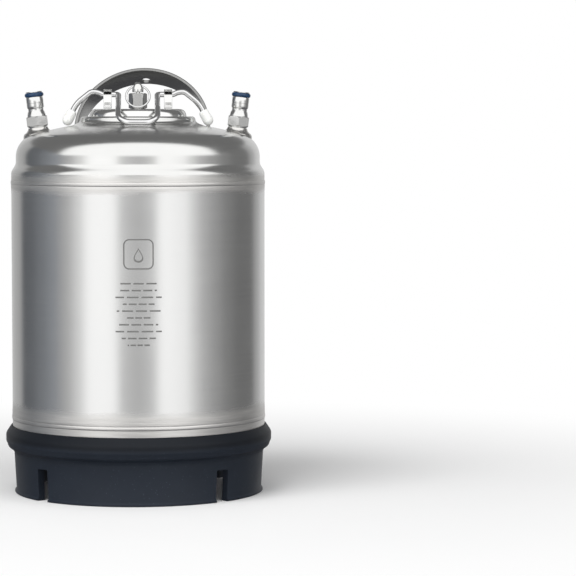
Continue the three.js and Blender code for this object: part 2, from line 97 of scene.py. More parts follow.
def spunMesh(profile, steps=96, closed=False):
    # profile is (radius, height) in mm, turned about Z
    bm = bmesh.new()
    verts = [bm.verts.new((r * mm, 0, z * mm)) for r, z in profile]
    edges = [bm.edges.new(pair) for pair in zip(verts, verts[1:])]
    if closed:
        edges.append(bm.edges.new((verts[-1], verts[0])))
    bmesh.ops.spin(bm, geom=verts + edges, cent=(0, 0, 0), axis=(0, 0, 1), angle=math.tau,
                   steps=steps, use_merge=True)
    bmesh.ops.remove_doubles(bm, verts=bm.verts, dist=sameSpot)
    bmesh.ops.dissolve_degenerate(bm, edges=bm.edges, dist=1e-7)
    turnOutward(bm)
    return bm


def moved(bm, place):
    bmesh.ops.transform(bm, matrix=place, verts=bm.verts)
    return bm


def filled(bm, points):
    verts = [bm.verts.new(Vector(point) * mm) for point in points]
    return bmesh.ops.contextual_create(bm, geom=verts)["faces"]


def pushed(bm, faces, way):
    # extrudes faces along a vector in mm and gives the far ones back
    raised = bmesh.ops.extrude_face_region(bm, geom=faces)["geom"]
    far = [part for part in raised if isinstance(part, bmesh.types.BMVert)]
    bmesh.ops.translate(bm, verts=far, vec=Vector(way) * mm)
    return [part for part in raised if isinstance(part, bmesh.types.BMFace)]


def softenEdges(bm, width, segments, angle=30):
    sharp = [e for e in bm.edges if len(e.link_faces) == 2 and e.calc_face_angle() > math.radians(angle)]
    bmesh.ops.bevel(bm, geom=sharp, offset=width * mm, offset_type="OFFSET", segments=segments,
                    profile=0.5, affect="EDGES", material=-1, clamp_overlap=True)


def placed(name, data):
    made = bpy.data.objects.new(name, data)
    bpy.context.collection.objects.link(made)
    return made


def meshObject(bm, name):
    mesh = bpy.data.meshes.new(name)
    bm.to_mesh(mesh)
    bm.free()
    return placed(name, mesh)


def finishPiece(bm, name, body, material, replaced=(), sharpAngle=38):
    bmesh.ops.remove_doubles(bm, verts=bm.verts, dist=sameSpot)
    for face in bm.faces:
        face.smooth = True
    limit = math.radians(sharpAngle)
    for edge in bm.edges:
        edge.smooth = not (len(edge.link_faces) == 2 and edge.calc_face_angle() > limit)
    piece = meshObject(bm, name)
    piece.data.materials.append(material)
    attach(piece, body)
    if replaced:
        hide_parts(*replaced)
    return piece


def cutBy(bm, cutters):
    # one bmesh cut by others, with modifiers on a throwaway object
    base = meshObject(bm, "cutBase")
    tools = [meshObject(cutter, "cutTool") for cutter in cutters]
    for tool in tools:
        step = base.modifiers.new("cut", "BOOLEAN")
        step.solver = "EXACT"
        step.object = tool
    bpy.context.view_layer.update()
    seen = base.evaluated_get(bpy.context.evaluated_depsgraph_get())
    result = bmesh.new()
    result.from_mesh(seen.to_mesh())
    for thing in [base] + tools:
        bpy.data.objects.remove(thing)
    bmesh.ops.remove_doubles(result, verts=result.verts, dist=2e-6)
    return result


def rod(radius, low, high, steps=48, matrix=None):
    bm = bmesh.new()
    place = Matrix.Translation((0, 0, (low + high) / 2 * mm))
    bmesh.ops.create_cone(bm, cap_ends=True, segments=steps, radius1=radius * mm, radius2=radius * mm,
                          depth=(high - low) * mm, matrix=(matrix or Matrix()) @ place)
    return bm


def box(size, centre, matrix=None):
    bm = bmesh.new()
    place = Matrix.Translation(Vector(centre) * mm) @ Matrix.Diagonal((*(Vector(size) * mm), 1))
    bmesh.ops.create_cube(bm, size=1, matrix=(matrix or Matrix()) @ place)
    return bm


def sweep(points, radius, sides=16, closed=False):
    # a round wire along a list of points in mm
    curve = bpy.data.curves.new("path", "CURVE")
    curve.dimensions = "3D"
    curve.bevel_depth = radius * mm
    curve.bevel_resolution = max(sides // 4 - 1, 0)
    curve.use_fill_caps = not closed
    line = curve.splines.new("POLY")
    line.points.add(len(points) - 1)
    for spot, place in zip(line.points, points):
        spot.co = (*(Vector(place) * mm), 1)
    line.use_cyclic_u = closed
    holder = placed("path", curve)
    bpy.context.view_layer.update()
    seen = holder.evaluated_get(bpy.context.evaluated_depsgraph_get())
    bm = bmesh.new()
    bm.from_mesh(seen.to_mesh())
    bpy.data.objects.remove(holder)
    bpy.data.curves.remove(curve)
    bmesh.ops.remove_doubles(bm, verts=bm.verts, dist=1e-7)
    turnOutward(bm)
    return bm


def roundedPath(corners, cuts, steps):
    # straight runs joined by curves of the given cut lengths
    points = [Vector(corners[0])]
    for before, here, after, cut in zip(corners, corners[1:], corners[2:], cuts):
        here = Vector(here)
        a = here + (Vector(before) - here).normalized() * cut
        b = here + (Vector(after) - here).normalized() * cut
        for i in range(steps + 1):
            t = i / steps
            points.append(a * (1 - t) ** 2 + here * 2 * t * (1 - t) + b * t ** 2)
    points.append(Vector(corners[-1]))
    return points


def smoothStep(t):
    t = min(max(t, 0), 1)
    return t * t * (3 - 2 * t)


def ovalise(bm):
    # widens the neck and the lid from side to side and fades out towards the middle and the dome
    for vert in bm.verts:
        r = math.hypot(vert.co.x, vert.co.y) / mm
        if r < sameSpot:
            continue
        inner = smoothStep((r - 0.35 * neckOuter) / (0.3 * neckOuter))
        outer = 1 - smoothStep((r - neckOuter - 5) / 6)
        push = ovalness * inner * outer / r
        vert.co.x *= 1 + push
        vert.co.y *= 1 - push


def joined(*parts):
    result = bmesh.new()
    for part in parts:
        mesh = bpy.data.meshes.new("part")
        part.to_mesh(mesh)
        part.free()
        result.from_mesh(mesh)
        bpy.data.meshes.remove(mesh)
    return result


# ---- shader groups
def groupNodes(name, settings, results):
    # a group that takes a place and some numbers, and gives numbers
    tree = bpy.data.node_groups.new(name, "ShaderNodeTree")
    tree.interface.new_socket("Vector", in_out="INPUT", socket_type="NodeSocketVector")
    for label in settings:
        tree.interface.new_socket(label, in_out="INPUT", socket_type="NodeSocketFloat")
    for label in results:
        tree.interface.new_socket(label, in_out="OUTPUT", socket_type="NodeSocketFloat")
    given = tree.nodes.new("NodeGroupInput").outputs
    return tree, given, tree.nodes.new("NodeGroupOutput").inputs


def node(tree, kind, **settings):
    made = tree.nodes.new("ShaderNode" + kind)
    for key, value in settings.items():
        if key in made.inputs:
            made.inputs[key].default_value = value
        else:
            setattr(made, key, value)
    return made


def mathNode(tree, operation, first, second=None, clamp=False):
    made = tree.nodes.new("ShaderNodeMath")
    made.operation = operation
    made.use_clamp = clamp
    for socket, value in zip(made.inputs, (first, second)):
        if value is None:
            continue
        if isinstance(value, (int, float)):
            socket.default_value = value
        else:
            tree.links.new(value, socket)
    return made.outputs[0]


def plus(tree, first, second):
    return mathNode(tree, "ADD", first, second)


def minus(tree, first, second, clamp=False):
    return mathNode(tree, "SUBTRACT", first, second, clamp)


def times(tree, first, second, clamp=False):
    return mathNode(tree, "MULTIPLY", first, second, clamp)


def axes(tree, vector):
    made = node(tree, "SeparateXYZ")
    tree.links.new(vector, made.inputs[0])
    return made.outputs


def mapRange(tree, value, low, high, start=0, end=1, kind="LINEAR"):
    # low to high of the value becomes start to end
    made = node(tree, "MapRange", interpolation_type=kind)
    for label, number in (("From Min", low), ("From Max", high), ("To Min", start), ("To Max", end)):
        made.inputs[label].default_value = number
    tree.links.new(value, made.inputs["Value"])
    return made.outputs[0]


def mixColor(tree, factor, first, second):
    made = tree.nodes.new("ShaderNodeMix")
    made.data_type = "RGBA"
    sockets = (made.inputs[0], made.inputs[6], made.inputs[7])
    for socket, value in zip(sockets, (factor, first, second)):
        if isinstance(value, (int, float)):
            socket.default_value = value
        elif isinstance(value, tuple):
            socket.default_value = (*value, 1)
        else:
            tree.links.new(value, socket)
    return made.outputs[2]


def noise(tree, vector, scale, detail, roughness):
    made = node(tree, "TexNoise", Scale=scale, Detail=detail, Roughness=roughness)
    tree.links.new(vector, made.inputs["Vector"])
    return made.outputs["Fac"]


def stretched(tree, vector, scale):
    made = node(tree, "Mapping")
    made.inputs["Scale"].default_value = scale
    tree.links.new(vector, made.inputs["Vector"])
    return made.outputs[0]


def ramp(tree, value, stops):
    made = tree.nodes.new("ShaderNodeValToRGB")
    made.color_ramp.interpolation = "EASE"
    elements = made.color_ramp.elements
    while len(elements) < len(stops):
        elements.new(0.5)
    for element, (place, shade) in zip(elements, stops):
        element.position = place
        element.color = (*shade, 1)
    tree.links.new(value, made.inputs[0])
    return made.outputs[0]


def makeGrainGroup():
    # fine drawn lines, cloudy tone and handling scratches on bare steel
    settings = ("Along", "Across", "Radial", "Scratches")
    tree, given, out = groupNodes("steelGrain", settings, ("Tone", "Height", "Wear"))
    place, along, across, radial, scratches = given[:5]
    x, y, z = axes(tree, place)
    flat = node(tree, "VectorMath", operation="MULTIPLY")
    flat.inputs[1].default_value = (1, 1, 0)
    tree.links.new(place, flat.inputs[0])
    size = node(tree, "VectorMath", operation="LENGTH")
    tree.links.new(flat.outputs[0], size.inputs[0])
    rings = times(tree, times(tree, size.outputs["Value"], across), radial)
    lines = node(tree, "CombineXYZ")
    tree.links.new(plus(tree, times(tree, x, along), rings), lines.inputs[0])
    tree.links.new(times(tree, y, along), lines.inputs[1])
    tree.links.new(times(tree, z, across), lines.inputs[2])
    grain = noise(tree, lines.outputs[0], 1.0, 4.0, 0.7)
    cloud = noise(tree, place, 22.0, 4.0, 0.6)
    slant = node(tree, "Mapping", vector_type="POINT")
    slant.inputs["Rotation"].default_value = (0.4, 0.9, 0.6)
    slant.inputs["Scale"].default_value = (900, 60, 90)
    tree.links.new(place, slant.inputs["Vector"])
    marks = noise(tree, slant.outputs[0], 1.0, 2.0, 0.4)
    scratch = times(tree, mathNode(tree, "GREATER_THAN", marks, 0.70), scratches)
    tree.links.new(plus(tree, times(tree, grain, 0.5), times(tree, cloud, 0.5)), out["Tone"])
    tree.links.new(minus(tree, grain, times(tree, scratch, 0.4)), out["Height"])
    tree.links.new(times(tree, scratch, cloud), out["Wear"])
    return tree


def makeSpeckGroup():
    # dust and fine moulding specks for rubber and plastic
    tree, given, out = groupNodes("speckle", ("Size",), ("Specks", "Mottle", "Height"))
    scaled = node(tree, "VectorMath", operation="SCALE")
    tree.links.new(given["Vector"], scaled.inputs[0])
    tree.links.new(given["Size"], scaled.inputs["Scale"])
    fine = noise(tree, scaled.outputs[0], 1.0, 4.0, 0.7)
    mottle = noise(tree, given["Vector"], 35.0, 5.0, 0.65)
    cells = node(tree, "TexVoronoi", Scale=0.35)
    tree.links.new(scaled.outputs[0], cells.inputs["Vector"])
    specks = mathNode(tree, "LESS_THAN", cells.outputs["Distance"], 0.10)
    tree.links.new(times(tree, specks, mottle), out["Specks"])
    tree.links.new(mottle, out["Mottle"])
    tree.links.new(fine, out["Height"])
    return tree


grainGroup = makeGrainGroup()
speckGroup = makeSpeckGroup()


def newMaterial(name):
    material = bpy.data.materials.new(name)
    material.use_nodes = True
    tree = material.node_tree
    shader = tree.nodes["Principled BSDF"]
    place = tree.nodes.new("ShaderNodeTexCoord").outputs["Object"]
    return material, tree, shader, place


def useGroup(tree, group, vector, **values):
    made = tree.nodes.new("ShaderNodeGroup")
    made.node_tree = group
    tree.links.new(vector, made.inputs["Vector"])
    for key, value in values.items():
        made.inputs[key].default_value = value
    return made.outputs


def dress(tree, shader, color, roughness, height, strength, distance):
    # colour, roughness and a fine bump on one shader
    bump = node(tree, "Bump", Strength=strength, Distance=distance)
    tree.links.new(height, bump.inputs["Height"])
    for source, label in ((color, "Base Color"), (roughness, "Roughness"), (bump.outputs[0], "Normal")):
        tree.links.new(source, shader.inputs[label])


def grey(shade, warm=0):
    return (shade, shade, shade - warm)


scratchTone = grey(0.86, 0.01)


def bareSteel(name, dark, light, smooth, rough, along, across, radial=0, scratches=0.3, bump=0.12):
    material, tree, shader, place = newMaterial(name)
    marks = useGroup(tree, grainGroup, place, Along=along, Across=across, Radial=radial, Scratches=scratches)
    color = mixColor(tree, marks["Tone"], dark, light)
    color = mixColor(tree, times(tree, marks["Wear"], 0.6, clamp=True), color, scratchTone)
    shader.inputs["Metallic"].default_value = 1
    gloss = mapRange(tree, marks["Tone"], 0.3, 0.7, smooth, rough)
    gloss = plus(tree, gloss, times(tree, marks["Wear"], 0.15))
    dress(tree, shader, color, gloss, marks["Height"], bump, 0.00004)
    return material


def rubberLike(name, base, dusty, rough, bump, size=900.0, specular=0.5):
    material, tree, shader, place = newMaterial(name)
    marks = useGroup(tree, speckGroup, place, Size=size)
    dust = tuple(min(c * 4 + 0.05, 1) for c in dusty)
    color = mixColor(tree, times(tree, marks["Mottle"], 0.8), base, dusty)
    color = mixColor(tree, times(tree, marks["Specks"], 0.6), color, dust)
    wear = mapRange(tree, marks["Mottle"], 0, 1, rough - 0.08, rough + 0.12)
    shader.inputs["Specular IOR Level"].default_value = specular
    dress(tree, shader, color, wear, marks["Height"], bump, 0.0001)
    return material


# ---- finishes
weldBands = ((topSeam, 9), (bottomSeam, 15))


def shellSteel(name, dark, light, smooth, rough):
    # drawn sheet with matt, smeared bands beside the round welds
    material, tree, shader, place = newMaterial(name)
    marks = useGroup(tree, grainGroup, place, Along=9.0, Across=1500.0, Radial=1.0, Scratches=0.25)
    ragged = noise(tree, stretched(tree, place, (14, 14, 90)), 1.0, 5.0, 0.65)
    level = plus(tree, axes(tree, place)[2], times(tree, minus(tree, ragged, 0.5), 0.012))
    band = 0.0
    for seam, reach in weldBands:
        away = mathNode(tree, "ABSOLUTE", minus(tree, level, seam * mm))
        near = minus(tree, 1.0, mathNode(tree, "DIVIDE", away, reach * mm), clamp=True)
        band = mathNode(tree, "MAXIMUM", band, times(tree, near, 2.2, clamp=True))
    smear = noise(tree, stretched(tree, place, (26, 26, 420)), 1.0, 4.0, 0.6)
    matt = times(tree, band, plus(tree, times(tree, smear, 0.9), 0.25), clamp=True)
    color = mixColor(tree, marks["Tone"], dark, light)
    color = mixColor(tree, matt, color, mixColor(tree, smear, (0.60, 0.58, 0.55), (0.90, 0.89, 0.87)))
    color = mixColor(tree, times(tree, marks["Wear"], 0.5, clamp=True), color, scratchTone)
    shader.inputs["Metallic"].default_value = 1
    gloss = plus(tree, mapRange(tree, marks["Tone"], 0.35, 0.65, smooth, rough), times(tree, matt, 0.28))
    ripple = plus(tree, times(tree, matt, times(tree, smear, 2.5)), times(tree, marks["Height"], 0.35))
    dress(tree, shader, color, gloss, ripple, 0.22, 0.00016)
    return material


shellFinish = shellSteel("shellSatin", grey(0.56), grey(0.70, 0.01), 0.17, 0.24)
headFinish = shellSteel("headSatin", grey(0.58, 0.01), grey(0.72, 0.01), 0.16, 0.22)
# the handle steel is painted dark grey: painted shade for the strap's shaded underside
handleShadedSteel = bareSteel("handleSteelPaintedShade", grey(0.20), grey(0.34, 0.01), 0.22, 0.36, 40, 900, scratches=0.35)
machinedFinish = bareSteel("machinedSteel", grey(0.60, 0.01), grey(0.74, 0.01), 0.10, 0.20, 60, 3200, 0, 0.2)
polishedFinish = bareSteel("polishedSteel", grey(0.64, 0.01), grey(0.78, 0.01), 0.08, 0.17, 12, 1800, 1, 0.25)
wireFinish = bareSteel("drawnWire", grey(0.62), grey(0.76), 0.10, 0.19, 120, 700, scratches=0.4)
weldFinish = bareSteel("weldBead", (0.34, 0.32, 0.29), (0.58, 0.56, 0.52), 0.28, 0.5, 300, 500, 0, 0.1, 0.4)
stubFinish = bareSteel("stubSteel", (0.55, 0.54, 0.52), (0.72, 0.71, 0.69), 0.14, 0.3, 60, 400, 0, 0.2, 0.3)
springFinish = bareSteel("springSteel", grey(0.48), grey(0.62, 0.01), 0.2, 0.34, 900, 900, scratches=0.2)
tubeFinish = bareSteel("tubeSteel", grey(0.56, 0.01), grey(0.70, 0.01), 0.16, 0.28, 500, 60, scratches=0.2)
bootFinish = rubberLike("bootRubber", (0.008, 0.012, 0.020), (0.017, 0.023, 0.034), 0.5, 0.25, 1100, 0.25)
sealFinish = rubberLike("blackSeal", (0.008, 0.008, 0.009), (0.02, 0.02, 0.02), 0.4, 0.1)
blueFinish = rubberLike("blueSeal", (0.004, 0.020, 0.060), (0.010, 0.055, 0.13), 0.2, 0.08, 1500)
inkFinish = rubberLike("etchedInk", grey(0.10), grey(0.22, 0.01), 0.55, 0.3, 2600, 0.3)


def paintShadeAbove(material, level, fade, factor):
    # painted shade: the rubber is darkened towards black above a height, so the rolled lip looks shaded
    tree = material.node_tree
    shader = tree.nodes["Principled BSDF"]
    below = shader.inputs["Base Color"].links[0].from_socket
    height = axes(tree, node(tree, "TexCoord").outputs["Object"])[2]
    rise = mapRange(tree, height, (level - fade) * mm, (level + fade) * mm, kind="SMOOTHSTEP")
    color = mixColor(tree, times(tree, rise, factor), below, (0.002, 0.003, 0.005))
    tree.links.new(color, shader.inputs["Base Color"])


# painted shade on the boot's rolled lip
paintShadeAbove(bootFinish, bootEdge.z - 11, 3, 0.75)


def sleevePlastic():
    # milky soft plastic with a wet-looking skin
    material, tree, shader, place = newMaterial("milkyPlastic")
    marks = useGroup(tree, speckGroup, place, Size=700)
    color = mixColor(tree, marks["Mottle"], (0.80, 0.80, 0.76), (0.90, 0.91, 0.90))
    gloss = mapRange(tree, marks["Mottle"], 0, 1, 0.16, 0.34)
    shader.inputs["Subsurface Weight"].default_value = 0.4
    shader.inputs["Subsurface Radius"].default_value = (1, 0.95, 0.9)
    shader.inputs["Subsurface Scale"].default_value = 0.003
    dress(tree, shader, color, gloss, marks["Height"], 0.08, 0.00008)
    return material


sleeveFinish = sleevePlastic()
print("finishes made")

# ---- where each post stands: its foot on the dome and its tilted axis
post = {"height": 35.6, "mountOffset": 5.4, "spigot": 7.7}


def postFrame(side):
    name = ("liquid" if side > 0 else "gas") + "_coupling"
    mount = next(m for m in frame["record"]["mounts"] if m["name"] == name)
    axis = Vector(mount["axis"])
    foot = Vector(mount["pos_m"]) - Vector((0, post["mountOffset"] * mm, 0)) - axis * post["height"] * mm
    return Matrix.Translation(foot) @ Matrix.Rotation(math.atan2(axis.x, axis.z), 4, "Y")


# ---- shell
shell = {"wall": 1.2, "bottomKnuckle": 25, "bottomCrown": 300, "knuckleDrop": 14.5, "bead": 0.35,
         "beadReach": 1.6, "swell": 0.25, "swellReach": 9, "weldHalf": 0.15, "steps": 192}


def makeBarrel():
    r, inner, swell, reach = shellRadius, shellRadius - shell["wall"], shell["swell"], shell["beadReach"]

    def weldEnd(seam, side):
        swelling = [(r + swell * (1 - i / 4), seam + side * (reach + 0.6 + i * shell["swellReach"] / 4))
                    for i in range(5)]
        base = r + swell * 0.6
        turns = [math.radians(a) for a in (-90, -60, -30, 0, 30, 60, 90)]
        bead = [(base + shell["bead"] * math.cos(a), seam + side * reach * math.sin(a)) for a in turns]
        return bead + swelling
    profile = weldEnd(bottomSeam, 1) + weldEnd(topSeam, -1)[::-1]
    profile += [(inner, topSeam - shell["weldHalf"]), (inner, bottomSeam + shell["weldHalf"])]
    bm = spunMesh(profile, shell["steps"], closed=True)
    finishPiece(bm, "barrelSkin", "keg", shellFinish, ["barrel"])


dome = {"knuckle": 20, "crown": 330, "neckRadius": shellRadius - 4, "stepStart": topSeam + 8,
        "knuckleHeight": topSeam + 21.5, "neckRoll": 5.5, "lip": 11, "fillet": 5}
dome["centre"] = dome["knuckleHeight"] - math.sqrt((dome["crown"] - dome["knuckle"]) ** 2
                                                  - (dome["neckRadius"] - dome["knuckle"]) ** 2)


def domeHeight(r, lift=0):
    return dome["centre"] + math.sqrt((dome["crown"] + lift) ** 2 - r * r)


def domeOutline(lift, inner, steps=14):
    across = dome["neckRadius"] - dome["knuckle"]
    angle = math.degrees(math.atan2(dome["knuckleHeight"] - dome["centre"], across))
    start = across * dome["crown"] / (dome["crown"] - dome["knuckle"])
    radii = [start + (inner - start) * (i + 1) / steps for i in range(steps)]
    return (arc(across, dome["knuckleHeight"], dome["knuckle"] + lift, 0, angle, 14)
            + [(r, domeHeight(r, lift)) for r in radii])


def smoothBetween(points, steps=4):
    # Catmull-Rom through a few profile points
    ends = [points[0]] + list(points) + [points[-1]]
    result = []
    for a, b, c, d in zip(ends, ends[1:], ends[2:], ends[3:]):
        for i in range(steps):
            t = i / steps
            result.append(tuple(0.5 * (2 * q + (s - p) * t + (2 * p - 5 * q + 4 * s - u) * t * t
                                       + (3 * q - p - 3 * s + u) * t ** 3) for p, q, s, u in zip(a, b, c, d)))
    return result + [points[-1]]


def shoulderStep(inset):
    r, neck, low = shellRadius - inset, dome["neckRadius"] - inset, dome["stepStart"]
    drop = inset * 0.5
    return smoothBetween([(r, low - 1.2 - drop), (r - 0.15, low + 0.6 - drop), (r - 0.9, low + 2.6 - drop),
                          (neck + 1.3, low + 5.4 - drop), (neck + 0.25, low + 7.6), (neck, low + 9.5)])


def makeTopHead():
    wall, outer, seamEdge = shell["wall"], neckOuter, topSeam + shell["weldHalf"]
    inner, lipEnd = outer - dome["neckRoll"], neckTop - dome["lip"]
    roll, rollCentre = (outer - inner) / 2, (outer + inner) / 2
    foot, start = domeHeight(outer), outer + dome["fillet"]
    fillet = smoothBetween([(start, domeHeight(start)), (outer + 2.6, foot + 0.25), (outer + 0.9, foot + 1.4),
                            (outer, foot + 3.1)], 5)
    outside = [(shellRadius, seamEdge)] + shoulderStep(0) + domeOutline(0, start)[:-1] + fillet
    outside += arc(rollCentre, neckTop - roll, roll, 0, 180, 16) + [(inner, lipEnd)]
    inside = [(inner + wall, lipEnd)] + arc(rollCentre, neckTop - roll, roll - wall, 180, 0, 10)
    inside += [(outer - wall, foot + 2.2), (outer + 1, foot - 0.1), (start, domeHeight(start, -wall))]
    inside += domeOutline(-wall, start)[:-1][::-1] + shoulderStep(wall)[::-1]
    inside += [(shellRadius - wall, seamEdge)]
    bm = spunMesh(outside + inside, shell["steps"], closed=True)
    ovalise(bm)
    bm = cutBy(bm, [rod(post["spigot"], -12, 8, 48, postFrame(side)) for side in (-1, 1)])
    finishPiece(bm, "topHeadSkin", "keg", headFinish, ["top_head", "neck_ring"], 50)


def makeBottomHead():
    wall, knuckle, crown = shell["wall"], shell["bottomKnuckle"], shell["bottomCrown"]
    level, top = bottomSeam - shell["knuckleDrop"], bottomSeam - shell["weldHalf"]
    across = shellRadius - knuckle
    centre = level + math.sqrt((crown - knuckle) ** 2 - across ** 2)
    angle = math.degrees(math.atan2(level - centre, across))
    start = across * crown / (crown - knuckle)

    def outline(lift):
        radii = [start * (9 - i) / 10 for i in range(10)]
        return (arc(across, level, knuckle + lift, 0, angle, 10)
                + [(r, centre - math.sqrt((crown + lift) ** 2 - r * r)) for r in radii])
    profile = outline(-wall)[::-1] + [(shellRadius - wall, top), (shellRadius, top)] + outline(0)
    bm = spunMesh(profile, 128)
    finishPiece(bm, "bottomHeadSkin", "keg", headFinish, ["bottom_head"])


makeBarrel()
makeTopHead()
makeBottomHead()
print("shell made")

# ---- rubber boot
boot = {"skirt": 9.2, "seatAngle": -51.4286, "slotWidth": 12.5, "slotTop": 27, "slotDeep": 34, "slotPast": 5,
        "turn": -4.3, "waist": 1.3, "lip": bootEdge.x - shellRadius}


def makeBoot():
    r, top, knuckle = shellRadius, bootEdge.z, shell["bottomKnuckle"]
    skirt, waist, lip = r - boot["skirt"], r - boot["waist"], r + boot["lip"]
    seat = arc(r - knuckle, bottomSeam - shell["knuckleDrop"], knuckle + seatGap, boot["seatAngle"], 0, 16)
    seat = [point for point in seat if point[0] > skirt]
    outline = [(skirt, 0.6), (skirt + 0.6, 0), (r - 2.6, 0), (r - 1.7, 0.5), (r - 1.75, 1.5), (r - 2.7, 2.7),
               (r - 3, 3.6), (waist - 0.45, top - 31), (waist, top - 23.6)]
    outline += smoothBetween([(waist + 0.15, top - 22.6), (r + 0.2, top - 20.4), (r + 3.4, top - 18),
                              (lip - 0.9, top - 14.9), (lip - 0.1, top - 13), (lip, top - 10.5),
                              (lip, top - 7.6), (lip - 0.8, top - 5.4), (r + 1.5, top - 0.5)], 4)
    outline += [(r + 1.1, top - 0.1), (r + 0.6, top), (r + 0.3, top - 0.4)]
    bm = spunMesh(outline + seat[::-1], 192, closed=True)
    past, cutters = boot["slotPast"], []
    for angle in (45, 135, 225, 315):
        turn = Matrix.Rotation(math.radians(angle + boot["turn"]), 4, "Z")
        size = (boot["slotDeep"], boot["slotWidth"], boot["slotTop"] + past)
        cutter = box(size, (r, 0, (boot["slotTop"] - past) / 2), turn)
        softenEdges(cutter, 1.4, 3)
        cutters.append(cutter)
    finishPiece(cutBy(bm, cutters), "bootRubberFoot", "keg", bootFinish, ["rubber_boot"], 30)


makeBoot()
print("boot made")


# ---- handle: a flat strap bent to an arch, leaning back
handle = {"radius": 59, "strap": 3, "width": 25, "back": 45, "straight": 3, "drop": -24, "sink": 6.5,
          "hole": 3.9, "flare": 1.4, "margin": 3, "lean": 27.5, "yaw": -5.5, "soft": 0.9, "bead": 1.25,
          "beadOut": 0.4}


def handleFrame():
    foot = domeHeight(math.hypot(handle["radius"], handle["back"])) - handle["sink"]
    lean = Matrix.Rotation(math.radians(90 - handle["lean"]), 4, "X")
    return (Matrix.Rotation(math.radians(handle["yaw"]), 4, "Z")
            @ Matrix.Translation((0, handle["back"] * mm, foot * mm)) @ lean)


def domeFill(lift):
    outline = [(0, topSeam), (dome["neckRadius"] + lift, topSeam)] + domeOutline(lift, 0, 24)
    return spunMesh(outline, 128)


def makeStrap():
    r, strap, straight, drop = (handle[k] for k in ("radius", "strap", "straight", "drop"))
    half, inside = handle["width"] / 2, strap - r
    bm = bmesh.new()
    start = filled(bm, [(-r, drop, -half), (inside, drop, -half), (inside, drop, half), (-r, drop, half)])
    last = pushed(bm, start, (0, straight - drop, 0))
    turned = bmesh.ops.spin(bm, geom=last, cent=(0, straight * mm, 0), axis=(0, 0, 1), angle=-math.pi,
                            steps=72)["geom_last"]
    ends = [part for part in turned if isinstance(part, bmesh.types.BMFace)]
    pushed(bm, ends, (0, drop - straight, 0))
    bmesh.ops.delete(bm, geom=ends, context="FACES")
    bmesh.ops.remove_doubles(bm, verts=bm.verts, dist=sameSpot)
    inner = [f for f in bm.faces if all(len(e.link_faces) > 2 for e in f.edges)]
    bmesh.ops.delete(bm, geom=inner, context="FACES")
    turnOutward(bm)
    softenEdges(bm, handle["soft"], 3, 60)

    # the hole through the crown, flared on the inner face
    hole, flare = handle["hole"], handle["flare"]
    funnel = bmesh.new()
    bmesh.ops.create_cone(funnel, cap_ends=True, segments=48, radius1=hole * mm, radius2=(hole + flare) * mm,
                          depth=flare * mm, matrix=Matrix.Translation((0, 0, strap / 2 * mm)))
    top = straight + r - strap / 2
    place = Matrix.Translation((0, top * mm, (handle["margin"] + hole - half) * mm))
    place = place @ Matrix.Rotation(-math.pi / 2, 4, "X")
    bm = cutBy(bm, [moved(cutter, place) for cutter in (rod(hole, -6, 6, 48), funnel)])
    bm = cutBy(moved(bm, handleFrame()), [domeFill(shell["weldHalf"])])
    finishPiece(bm, "handleStrap", "keg", handleShadedSteel, ["handle_strap"], 40)


def meetDome(x, z):
    # slides along the strap, from well inside the dome to well above it, to where the two meet
    low, high = -40.0, 20.0
    for _ in range(30):
        y = (low + high) / 2
        spot = handleFrame() @ (Vector((x, y, z)) * mm) / mm
        if spot.z > domeHeight(math.hypot(spot.x, spot.y)):
            high = y
        else:
            low = y
    return spot


def makeHandleWelds():
    wide = handle["strap"] / 2 + handle["beadOut"]
    deep = handle["width"] / 2 + handle["beadOut"]
    beads = []
    for side in (-1, 1):
        loop = []
        middle = side * (handle["radius"] - handle["strap"] / 2)
        for i in range(72):
            c, s = math.cos(math.tau * i / 72), math.sin(math.tau * i / 72)
            x, z = wide * math.copysign(abs(c) ** 0.5, c), deep * math.copysign(abs(s) ** 0.35, s)
            spot = meetDome(middle + x, z)
            wobble = 0.12 * math.sin(i * 1.9) + 0.08 * math.sin(i * 4.3)
            loop.append(spot + Vector((0, 0, wobble)))
        beads.append(sweep(loop, handle["bead"], 16, closed=True))
    finishPiece(joined(*beads), "handleWelds", "keg", weldFinish)


makeStrap()
makeHandleWelds()
print("handle made")


# ---- posts
def hexagon(bm, across, low, high, turned=0):
    # flats two by two across the given size, between two heights
    for vert in bm.verts:
        x, y, z = vert.co / mm
        r = math.hypot(x, y)
        if r < across / 2 or not low - 0.01 < z < high + 0.01:
            continue
        turn = (math.degrees(math.atan2(y, x)) + turned) % 60 - 30
        limit = across / 2 / math.cos(math.radians(turn))
        if r > limit:
            vert.co.x *= limit / r
            vert.co.y *= limit / r


def hexRows(across, low, high, chamfer, reach):
    # the turned blank of a hexagon, chamfered at both ends
    corner = across / 2 + reach
    start = across / 2 - 0.35
    rows = [(start + (corner - start) * i / 5, low + chamfer * i / 5) for i in range(6)]
    middle = [(corner, low + chamfer + (high - low - 2 * chamfer) * i / 3) for i in (1, 2)]
    return rows + middle + [(r, high - (z - low)) for r, z in rows[::-1]]


post.update({"hex": 17.5, "hexLow": 6, "hexHigh": 14.6, "groove": 6.5, "sealDrop": 2.7, "seal": 6.6,
             "sealTall": 1.85, "sealWide": 1.5, "bore": 5, "mouth": 3.9, "floor": 14.7, "seat": 29,
             "disc": 26, "thread": 7, "pin": 2.2})


